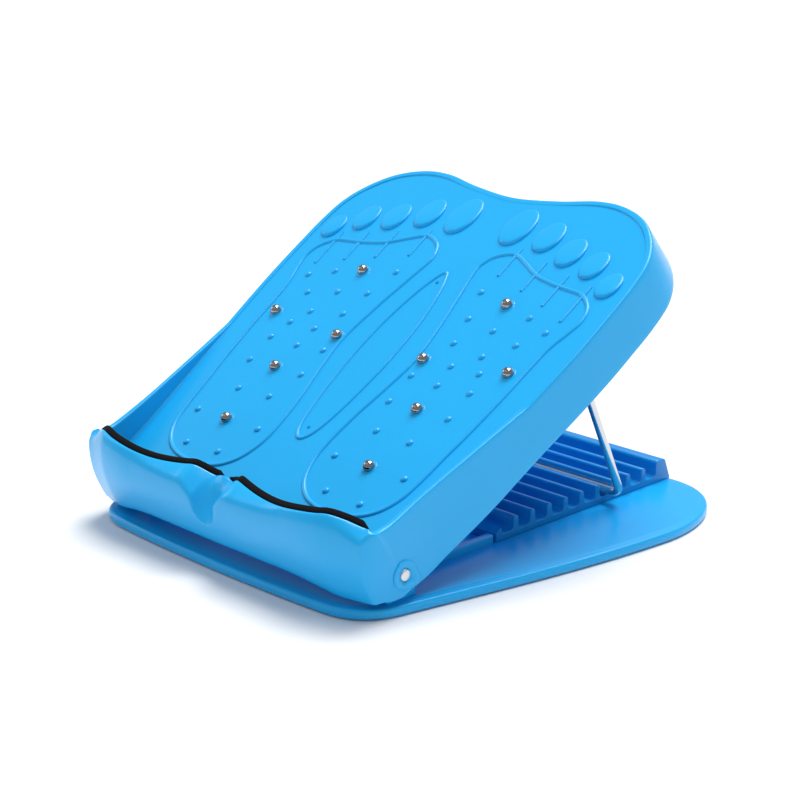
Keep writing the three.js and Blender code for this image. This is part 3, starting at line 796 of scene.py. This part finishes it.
def coons(heel, right, toe, left):
    """A net of points filling four edges; heel and toe run left to right, the sides heel to toe."""
    across = np.linspace(0, 1, len(heel))[:, None, None]
    along = np.linspace(0, 1, len(right))[None, :, None]
    net = (1 - along) * heel[:, None] + along * toe[:, None]
    net = net + (1 - across) * left[None] + across * right[None]
    corners = (1 - across) * (1 - along) * heel[0] + across * (1 - along) * heel[-1]
    corners = corners + (1 - across) * along * toe[0] + across * along * toe[-1]
    return net - corners


def foot_board():
    half, kind = board_stations()
    rings = wall_rings(half)
    left = mirrored(rings)[::-1]
    whole = np.concatenate([left, rings[1:-1]])
    verts, faces = loft(whole, close_stations=True)
    verts, faces = list(verts), list(faces)

    heel_end = int(np.sum(kind == 0))
    side_start = int(np.sum(kind < 2))
    side_end = side_start + SIDE_CELLS
    for k in (0, rings.shape[1] - 1):
        edge = rings[:, k]
        heel_right = edge[:heel_end]
        corner = edge[heel_end - 1]
        side = np.vstack([corner[None], edge[side_start:side_end]])
        toe = np.vstack([side[-1][None], edge[side_end:]])[::-1]
        heel = np.vstack([mirrored(heel_right)[::-1], heel_right[1:]])
        toes = np.vstack([mirrored(toe)[::-1], toe[1:]])
        net = coons(heel, side, toes, mirrored(side))
        start = len(verts)
        rows, cols = net.shape[:2]
        verts.extend(net.reshape(-1, 3))
        for i in range(rows - 1):
            for j in range(cols - 1):
                a = start + i * cols + j
                faces.append((a, a + cols, a + cols + 1, a + 1))
    verts = np.array(verts)
    return mesh_of("foot_board_moulding", verts, faces, BOARD_TO_ROW, deck_plastic, uv=verts[:, :2] * MM)


def board_ribs():
    """The lattice of stiffening ribs under the deck and the two saddles that carry the bail."""
    parts = []
    depth, top = -DECK_THICKNESS - 6, -DECK_THICKNESS + 0.5
    bars = [(-118, 118, v - 1.1, v + 1.1) for v in (20, 68, 118, 206, 246)]
    bars += [(u - 1.1, u + 1.1, -20, 262) for u in (-90, -30, 30, 90)]
    for u0, u1, v0, v1 in bars:
        verts, faces = block_mesh(u0, u1, v0, v1, depth, top)
        rib = mesh_of("rib", verts, faces, Matrix.Identity(4), blue_plastic, smooth=False)
        parts.append(with_modifiers(rib, ("BEVEL", dict(width=0.5, segments=2, limit_method="ANGLE"))))
    pivot_v = PIVOT_Y * math.cos(BOARD_TILT) + (PIVOT_Z - DECK_ORIGIN_Z) * math.sin(BOARD_TILT)
    pivot_w = -PIVOT_Y * math.sin(BOARD_TILT) + (PIVOT_Z - DECK_ORIGIN_Z) * math.cos(BOARD_TILT)
    for side in (-1, 1):
        outline = [(pivot_v - 12, top), (pivot_v - 12, pivot_w + 0.3), (pivot_v - 3.4, pivot_w + 0.3)]
        for a in range(180, -1, -20):
            c, s = math.cos(math.radians(a)), math.sin(math.radians(a))
            outline.append((pivot_v + 3.3 * c, pivot_w + 0.3 + 3.3 * s))
        outline += [(pivot_v + 3.4, pivot_w + 0.3), (pivot_v + 12, pivot_w + 0.3), (pivot_v + 12, top)]
        x0, x1 = sorted((side * 101, side * 115))
        verts, faces = prism(outline, x0, x1)
        saddle = mesh_of("saddle", verts, faces, Matrix.Identity(4), blue_plastic, smooth=False)
        softening = dict(width=0.35, segments=2, limit_method="ANGLE", angle_limit=math.radians(40))
        parts.append(with_modifiers(saddle, ("BEVEL", softening)))
    for side in (-1, 1):
        for u, v in BALL_POINTS:
            profile = [(-7.6, 5.6), (-7.9, 6.2), (-7.6, 6.8), (-3.2, 7.0)]
            verts, faces = turned(profile, 28, (side * u, v, 0), axis="z")
            parts.append(mesh_of("boss", verts, faces, Matrix.Identity(4), blue_plastic))
    ribs = joined("deck_ribs", parts)
    ribs.data.transform(BOARD_TO_ROW)
    return ribs


def hinge_bosses():
    """A teardrop pad round each hinge pin, its tail running out to the skirt's edge."""
    v0 = HINGE_Y * math.cos(BOARD_TILT) + (HINGE_Z - DECK_ORIGIN_Z) * math.sin(BOARD_TILT)
    w0 = -HINGE_Y * math.sin(BOARD_TILT) + (HINGE_Z - DECK_ORIGIN_Z) * math.cos(BOARD_TILT)
    parts = []
    tail = math.radians(-62)
    open_angle = math.radians(56)
    steps = np.linspace(tail + open_angle, tail + 2 * math.pi - open_angle, 36)
    ring = [(v0 + 9.6 * math.cos(a), w0 + 9.6 * math.sin(a)) for a in steps]
    reach = 15.5
    tip = (v0 + reach * math.cos(tail), w0 + reach * math.sin(tail))
    outline = np.array(ring + [
        (tip[0] - 2.2 * math.sin(-tail + 0.2), tip[1] - 0.6), tip,
        (tip[0] + 2.2 * math.sin(-tail), tip[1] + 1.6)])
    centre = np.array([v0, w0])
    for side in (-1, 1):
        levels = [(138.0, 1.0), (142.1, 1.0), (142.6, 0.975), (142.9, 0.93), (142.95, 0.86)]
        rings = np.zeros((len(levels) + 2, len(outline), 3))
        for i, (x, share) in enumerate(levels):
            rings[i, :, 0] = side * x
            rings[i, :, 1:] = centre + (outline - centre) * share
        hole = outline - centre
        hole = hole / np.linalg.norm(hole, axis=1)[:, None]
        rings[-2, :, 0] = side * 142.9
        rings[-2, :, 1:] = centre + hole * (PIN_RADIUS + 0.55)
        rings[-1, :, 0] = side * 141.2
        rings[-1, :, 1:] = centre + hole * (PIN_RADIUS + 0.25)
        verts, faces = loft(rings, close_profile=True)
        parts.append(mesh_of("boss", verts, faces, BOARD_TO_ROW, blue_plastic))
    return joined("hinge_bosses", parts)


board = place_piece(foot_board(), "board", "blue_plastic", "foot_board")
place_piece(board_ribs(), "board", "blue_plastic")
place_piece(hinge_bosses(), "board", "blue_plastic")


# ---------- relief on the deck ----------
def on_deck(points, lift):
    return np.column_stack([points, np.full(len(points), lift)])


def both_feet(points):
    p = np.array(points, float)
    return [p, mirrored(p)]


def relief_bead(name, lines, closed, radius, lift):
    source = line_object(name, [on_deck(p, lift) for p in lines], closed)
    bead = grown(source, SWEEP, BOARD_TO_ROW, Radius=radius, Sides=14, Material=blue_plastic)
    return place_piece(bead, "board", "blue_plastic")


SOLE_BEAD = dict(radius=1.75, lift=-0.4)
RAY_BEAD = dict(radius=1.4, lift=-0.35)
LEAF_BEAD = dict(radius=1.6, lift=-0.4)
soles = [spline_through(p, 8, closed=True) for p in both_feet(SOLE_OUTLINE)]
relief_bead("sole_outlines", soles, True, **SOLE_BEAD)
relief_bead("toe_rays", [line for ray in TOE_RAYS for line in both_feet(ray)], False, **RAY_BEAD)

leaf_half = [
    (0, 26), (7.5, 34), (12.5, 55), (15.5, 85), (16.5, 110), (15, 140), (10.5, 168), (5, 186), (0, 193),
]
leaf = leaf_half + [(-u, v) for u, v in reversed(leaf_half[1:-1])]
relief_bead("centre_leaf", [spline_through(leaf, 8, closed=True)], True, **LEAF_BEAD)


def toe_pads():
    """Ten raised ovals, one under each toe, highest towards the heel and crowned."""
    parts = []
    around = np.linspace(0, 2 * np.pi, 48, endpoint=False)
    shoulder = [(1.0, -0.6), (1.0, 0.15), (0.985, 0.6), (0.955, 0.95), (0.91, 1.15), (0.84, 1.27)]
    crown = [(s, 1.27 + 0.35 * (1 - (s / 0.84) ** 2)) for s in (0.7, 0.5, 0.3, 0.12)]
    for u, v, half_u, half_v in TOE_PADS:
        for side in (-1, 1):
            rings = np.array([
                np.stack([side * u + half_u * s * np.cos(around), v + half_v * s * np.sin(around),
                          w * (1.35 - 0.75 * s * np.sin(around))], 1)
                for s, w in shoulder + crown])
            verts, faces = loft(rings, close_profile=True)
            last = (len(rings) - 1) * 48
            faces.append(tuple(last + k for k in range(48)))
            faces.append(tuple(reversed(range(48))))
            parts.append(mesh_of("toe", verts, faces, BOARD_TO_ROW, blue_plastic))
    return joined("toe_pads", parts)


place_piece(toe_pads(), "board", "blue_plastic")


def domes(name, points, lift, radius, flatness, segments, rings, material):
    spots = [(side * u, v, lift) for side in (-1, 1) for u, v in points]
    mesh = bpy.data.meshes.new(name)
    mesh.from_pydata(spots, [], [])
    source = bpy.data.objects.new(name, mesh)
    bpy.context.scene.collection.objects.link(source)
    return grown(source, DOMES, BOARD_TO_ROW, Radius=radius, Flatness=flatness, Segments=segments,
                 Rings=rings, Material=material)


NUB_RADIUS, NUB_FLATNESS = 2.6, 0.66
COLLAR_RADIUS, COLLAR_FLATNESS = 5.6, 0.11
GATE_RADIUS, GATE_FLATNESS = 1.4, 0.35
nubs = domes("massage_nubs", NUB_POINTS, 0.0, NUB_RADIUS, NUB_FLATNESS, 24, 12, blue_plastic)
place_piece(nubs, "board", "blue_plastic")
collars = domes(
    "ball_collars", BALL_POINTS, 0.0, COLLAR_RADIUS, COLLAR_FLATNESS, 32, 12, blue_plastic)
place_piece(collars, "board", "blue_plastic")
# The balls use the darkened steel: painted dark reflection.
balls = domes("massage_balls", BALL_POINTS, BALL_LIFT, BALL_RADIUS, 1.0, 40, 24, polished_steel)
place_piece(balls, "board", "polished_steel",
            *[f"massage_ball_{side}_{i}" for side in ("left", "right") for i in range(1, 6)])
gate_points = [(0, 36.4), (0, 182.3)]
gates = domes("gate_marks", gate_points, 0.0, GATE_RADIUS, GATE_FLATNESS, 20, 10, blue_plastic)
place_piece(gates, "board", "blue_plastic")


# ---------- foam pads behind the heels ----------
def heel_pad(side):
    """A strip of closed-cell foam lining the heel stop, its top edge following the crest."""
    across = np.linspace(4.5, 134, 112)
    face = smooth_keys(STOP_FACE, across) + 0.3
    top = smooth_keys(CREST, across) - 0.25
    facing = normals_of(np.stack([across, face], 1)) * -1
    facing[facing[:, 1] < 0] *= -1
    r = 0.9
    rings = np.zeros((len(across), 16, 3))
    t = PAD_THICKNESS
    section = [(0.0, 0), (0.0, 0.5), (0.0, 1.0), (0.3, 1.0), (1.0, 1.0), (t / 2, 1.0), (t - 1.0, 1.0),
               (t - 0.3, 1.0), (t, 1.0), (t, 0.75), (t, 0.5), (t, 0.25), (t, 0), (t * 0.7, 0), (t * 0.4, 0),
               (t * 0.1, 0)]
    drop = [0, 0, -r, -0.28, 0, 0.12, 0, -0.28, -r, 0, 0, 0, 0, 0, 0, 0]
    ease_in = np.minimum(ease(across, 4.5, 8.0), 1 - ease(across, 131, 134))
    for k, (away, share) in enumerate(section):
        squeeze = 0.35 + 0.65 * ease_in
        plan = np.stack([across, face], 1) + facing * (away * squeeze)[:, None]
        w = 1.9 + (top - 1.9) * share + drop[k] - 0.5 * (1 - ease_in) * share
        rings[:, k, 0] = side * plan[:, 0]
        rings[:, k, 1] = plan[:, 1]
        rings[:, k, 2] = w
    verts, faces = loft(rings, close_profile=True)
    faces.append(tuple(range(16)))
    faces.append(tuple((len(across) - 1) * 16 + k for k in range(15, -1, -1)))
    label = "left" if side < 0 else "right"
    pad = mesh_of(f"foam_pad_{label}", verts, faces, BOARD_TO_ROW, black_foam)
    place_piece(pad, "board", "foam", f"heel_pad_{label}")
    return pad


heel_pad(-1)
heel_pad(1)


# ---------- base ----------
BASE_BOTTOM, BASE_TOP, BASE_REAR = 1.0, 8.0, 287.0
BASE_HALF = 179.3


def bezier(a, b, c, d, steps):
    t = np.linspace(0, 1, steps + 1)[:, None]
    a, b, c, d = (np.array(p, float) for p in (a, b, c, d))
    return (1 - t) ** 3 * a + 3 * t * (1 - t) ** 2 * b + 3 * t * t * (1 - t) * c + t**3 * d


def base_outline():
    f = BASE_FRONT
    parts = [
        bezier((0, f), (41, f), (76, f + 1.2), (104, f + 3.5), 16),
        bezier((104, f + 3.5), (128, f + 5.5), (139, -38), (142.5, -16), 24),
        bezier((142.5, -16), (157, 52), (174, 120), (BASE_HALF, 200), 40),
        bezier((BASE_HALF, 200), (180, 240), (162, 283), (119, BASE_REAR - 0.6), 36),
        bezier((119, BASE_REAR - 0.6), (80, BASE_REAR), (40, BASE_REAR), (0, BASE_REAR), 16),
    ]
    right = np.vstack([p[:-1] for p in parts] + [parts[-1][-1:]])
    left = mirrored(right[1:-1])[::-1]
    return np.vstack([right, left])


def base_plate():
    line = base_outline()
    ahead, behind = np.roll(line, -1, 0), np.roll(line, 1, 0)
    along = ahead - behind
    along /= np.linalg.norm(along, axis=1)[:, None]
    out = np.stack([along[:, 1], -along[:, 0]], 1)
    profile = [(-9, BASE_TOP), (-6.4, BASE_TOP), (-5.6, BASE_TOP - 0.05), (-4.8, BASE_TOP - 0.35),
               (-4.2, BASE_TOP - 0.4), (-2.2, BASE_TOP - 0.45), (-1.2, BASE_TOP - 0.75),
               (-0.5, BASE_TOP - 1.35), (-0.12, BASE_TOP - 2.2), (0, BASE_TOP - 3.2), (0, 3.4), (-0.1, 2.0),
               (-0.5, 1.3), (-1.2, BASE_BOTTOM), (-6, BASE_BOTTOM)]
    rings = np.zeros((len(profile), len(line), 3))
    for k, (away, z) in enumerate(profile):
        rings[k, :, :2] = line + out * away
        rings[k, :, 2] = z
    verts, faces = loft(rings, close_profile=True)
    count = len(line)
    faces.append(tuple(range(count)))
    faces.append(tuple((len(profile) - 1) * count + k for k in range(count - 1, -1, -1)))
    plate = mesh_of("plate", verts, faces, BASE_TO_ROW, blue_plastic)
    parts = [plate]
    for side in (-1, 1):
        ear = [(HINGE_Y - 8, BASE_TOP - 1), (HINGE_Y + 18, BASE_TOP - 1), (HINGE_Y + 14.5, BASE_TOP + 6)]
        ear += [(HINGE_Y + 9.5 * math.cos(math.radians(a)), HINGE_Z + 9.5 * math.sin(math.radians(a)))
                for a in range(-6, 187, 8)]
        ear += [(HINGE_Y - 9.2, BASE_TOP + 6)]
        x0, x1 = sorted((side * 129, side * 135))
        verts, faces = prism(ear, x0, x1)
        lug = mesh_of("ear", verts, faces, BASE_TO_ROW, blue_plastic, smooth=False)
        parts.append(with_modifiers(lug, ("BEVEL", dict(width=0.0007, segments=3, limit_method="ANGLE"))))
        x0, x1 = sorted((side * 104, side * 110))
        verts, faces = block_mesh(x0, x1, HINGE_Y, 96.5, BASE_TOP - 1, 14)
        rail = mesh_of("rail", verts, faces, BASE_TO_ROW, blue_plastic, smooth=False)
        parts.append(with_modifiers(rail, ("BEVEL", dict(width=0.0012, segments=3, limit_method="ANGLE"))))
    return joined("base_moulding", parts)


def notch_rack():
    """Ten round-cornered notches between rounded ribs, with a higher stop at the rear."""
    count, pitch, width, first_y, floor, top = 10, 17.0, 12.0, 109.0, 13.0, 22.5
    r = width / 2
    corner = 3.0
    first = first_y - r
    profile = [(first - 5, BASE_TOP), (first - 5, 14.0), (first - 1.2, 16.6), (first - 0.3, 18.2)]
    for i in range(count):
        centre = first_y + pitch * i
        for wall, start in ((-1, 180), (1, 270)):
            for a in np.linspace(start, start + 90, 8):
                c, s = math.cos(math.radians(a)), math.sin(math.radians(a))
                profile.append((centre + wall * (r - corner) + corner * c, floor + corner + corner * s))
        if i < count - 1:
            rib = centre + pitch / 2
            for da, dz in ((-2.45, -2.2), (-2.2, -1.1), (-1.6, -0.35), (-0.8, 0), (0.8, 0), (1.6, -0.35),
                           (2.2, -1.1), (2.45, -2.2)):
                profile.append((rib + da, top + dz))
    last = first_y + pitch * (count - 1) + r
    profile += [(last, 22.0), (last + 0.5, 23.4), (last + 1.6, 24.3), (last + 3, 24.5), (last + 8.5, 24.5),
                (last + 10, 24.0), (last + 11, 22.8), (last + 16.6, 9.2), (last + 17, BASE_TOP)]
    verts, faces = prism(profile[::-1], -111, 111)
    # The rack takes the darkened blue: painted shade in its grooves.
    rack = mesh_of("notch_rack_moulding", verts, faces, BASE_TO_ROW, shade_darkened_rack_plastic, smooth=False)
    rack = with_modifiers(rack, ("BEVEL", dict(
        width=0.0011, segments=3, limit_method="ANGLE", angle_limit=math.radians(60))))
    rack.data.shade_smooth()
    return rack


def sharp_by_angle(obj, degrees):
    """Keeps flat faces flat and rounded ones round."""
    bm = bmesh.new()
    bm.from_mesh(obj.data)
    limit = math.radians(degrees)
    for edge in bm.edges:
        if len(edge.link_faces) == 2:
            edge.smooth = edge.calc_face_angle(0) < limit
    for face in bm.faces:
        face.smooth = True
    bm.to_mesh(obj.data)
    bm.free()
    return obj


place_piece(sharp_by_angle(base_plate(), 32), "base", "blue_plastic", "base_plate")
place_piece(sharp_by_angle(notch_rack(), 32), "base", "blue_plastic", "notch_rack")


# ---------- steel parts ----------
def bail_line():
    """The bail's wire: journal, leg, cross rod, leg, journal, with rounded bends."""
    down = np.array([0, math.sin(LEG_LEAN), -math.cos(LEG_LEAN)])

    def at(x, drop):
        return np.array([x, PIVOT_Y, PIVOT_Z]) + down * drop

    corners = [(-LEG_X, 0, 6.0), (-LEG_X, LEG_LENGTH, 9.0), (LEG_X, LEG_LENGTH, 9.0), (LEG_X, 0, 6.0)]
    line = [at(-JOURNAL_END_X, 0)]
    for i, (x, drop, radius) in enumerate(corners):
        corner = at(x, drop)
        after = at(*corners[i + 1][:2]) if i < 3 else at(JOURNAL_END_X, 0)
        before = line[-1]
        enter = corner + (before - corner) / np.linalg.norm(before - corner) * radius
        leave = corner + (after - corner) / np.linalg.norm(after - corner) * radius
        for t in np.linspace(0, 1, 13):
            line.append((1 - t) ** 2 * enter + 2 * t * (1 - t) * corner + t * t * leave)
    line.append(at(JOURNAL_END_X, 0))
    return np.array(line)


wire = grown(line_object("bail_wire", [bail_line()], False), SWEEP, BASE_TO_ROW,
             Radius=WIRE_RADIUS, Sides=32, Material=bright_steel)
place_piece(sharp_by_angle(wire, 50), "bail", "bright_steel", "support_bail")


def hinge_pins():
    parts = []
    for side in (-1, 1):
        profile = [(124.0, 3.2), (124.0, 3.5), (124.5, 4.0), (142.4, 4.0), (142.9, 3.85), (143.2, 3.45),
                   (143.35, 2.6), (143.4, 1.4)]
        profile = [(side * x, r) for x, r in profile]
        verts, faces = turned(profile, 36, (0, HINGE_Y, HINGE_Z))
        parts.append(mesh_of("pin", verts, faces, BASE_TO_ROW, zinc_steel))
    return joined("hinge_pins", parts)


place_piece(sharp_by_angle(hinge_pins(), 50), "base", "zinc_steel", "hinge_pin_left", "hinge_pin_right")


# ---------- small parts kept from the frame, with softened edges ----------
def softened(name, material, body, finish_slot, width):
    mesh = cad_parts[name].data.copy()
    bm = bmesh.new()
    bm.from_mesh(mesh)
    bmesh.ops.remove_doubles(bm, verts=bm.verts, dist=1e-6)
    bmesh.ops.dissolve_limit(bm, angle_limit=math.radians(1), verts=bm.verts, edges=bm.edges)
    bm.to_mesh(mesh)
    bm.free()
    mesh.materials.clear()
    mesh.materials.append(material)
    obj = bpy.data.objects.new(f"{name}_finished", mesh)
    bpy.context.scene.collection.objects.link(obj)
    obj = with_modifiers(obj, ("BEVEL", dict(
        width=width, segments=2, limit_method="ANGLE", angle_limit=math.radians(40))))
    return place_piece(sharp_by_angle(obj, 30), body, finish_slot, name)


for side in ("left", "right"):
    softened(f"pin_retainer_{side}", zinc_steel, "base", "zinc_steel", 0.0002)
    softened(f"bail_clip_{side}", blue_plastic, "board", "blue_plastic", 0.0005)
    for end in ("front", "rear"):
        softened(f"rubber_foot_{end}_{side}", black_rubber, "base", "rubber", 0.0005)
        softened(f"clip_screw_{end}_{side}", zinc_steel, "board", "zinc_steel", 0.0002)


# ---------- floor, lights, camera ----------
FLOOR_HALF_WIDTH = 40.0


def pale_floor():
    mesh = bpy.data.meshes.new("studio_floor")
    size = FLOOR_HALF_WIDTH
    corners = [(-size, -size, 0), (size, -size, 0), (size, size, 0), (-size, size, 0)]
    mesh.from_pydata(corners, [], [(0, 1, 2, 3)])
    material = bpy.data.materials.new("pale_floor")
    material.use_nodes = True
    surface = material.node_tree.nodes["Principled BSDF"]
    surface.inputs["Base Color"].default_value = (0.93, 0.93, 0.93, 1)
    surface.inputs["Roughness"].default_value = 0.9
    surface.inputs["Specular IOR Level"].default_value = 0.1
    mesh.materials.append(material)
    obj = bpy.data.objects.new("studio_floor", mesh)
    bpy.context.scene.collection.objects.link(obj)
    return obj


def soft_light(name, place, target, size, power):
    data = bpy.data.lights.new(name, "AREA")
    data.shape = "RECTANGLE"
    data.size, data.size_y = size
    data.energy = power
    obj = bpy.data.objects.new(name, data)
    obj.location = place
    aim = Vector(target) - Vector(place)
    obj.rotation_euler = aim.to_track_quat("-Z", "Y").to_euler()
    bpy.context.scene.collection.objects.link(obj)
    return obj


SUN_STRENGTH, SUN_SPREAD, SUN_DIRECTION = 2.7, 36, (0.1, -0.4, -1)
SKY_STRENGTH = 0.38
SOFTBOXES = (
    # name, place, target, width and height in metres, watts
    ("key_softbox", (-0.6, -1.3, 1.9), (0, 0, 0.1), (1.6, 1.2), 2),
    ("left_softbox", (-1.6, -0.5, 0.75), (0, 0, 0.1), (0.8, 0.8), 3.5),
    ("top_softbox", (0.55, -0.02, 1.6), (0, 0, 0.1), (0.35, 0.35), 3.5),
    ("back_softbox", (-0.4, 1.7, 1.6), (0, 0.05, 0.1), (1.8, 1.0), 4),
)

pale_floor()
sun_data = bpy.data.lights.new("overhead_light", "SUN")
sun_data.energy = SUN_STRENGTH
sun_data.angle = math.radians(SUN_SPREAD)
sun = bpy.data.objects.new("overhead_light", sun_data)
sun.rotation_euler = Vector(SUN_DIRECTION).to_track_quat("-Z", "Y").to_euler()
bpy.context.scene.collection.objects.link(sun)
for softbox in SOFTBOXES:
    soft_light(*softbox)

world = bpy.data.worlds.new("studio_white")
world.use_nodes = True
sky = world.node_tree.nodes["Background"]
sky.inputs["Color"].default_value = (1, 1, 1, 1)
sky.inputs["Strength"].default_value = SKY_STRENGTH
bpy.context.scene.world = world
bpy.context.scene.view_settings.view_transform = "Standard"

camera = bpy.data.cameras.new("camera")
camera.lens = 86.365
camera.sensor_width = 36
camera_object = bpy.data.objects.new("camera", camera)
camera_object.location = (0.92144, -0.89617, 0.47751)
camera_object.rotation_euler = (math.radians(90 - 17.15), 0, math.radians(45.59))
bpy.context.scene.collection.objects.link(camera_object)
bpy.context.scene.camera = camera_object
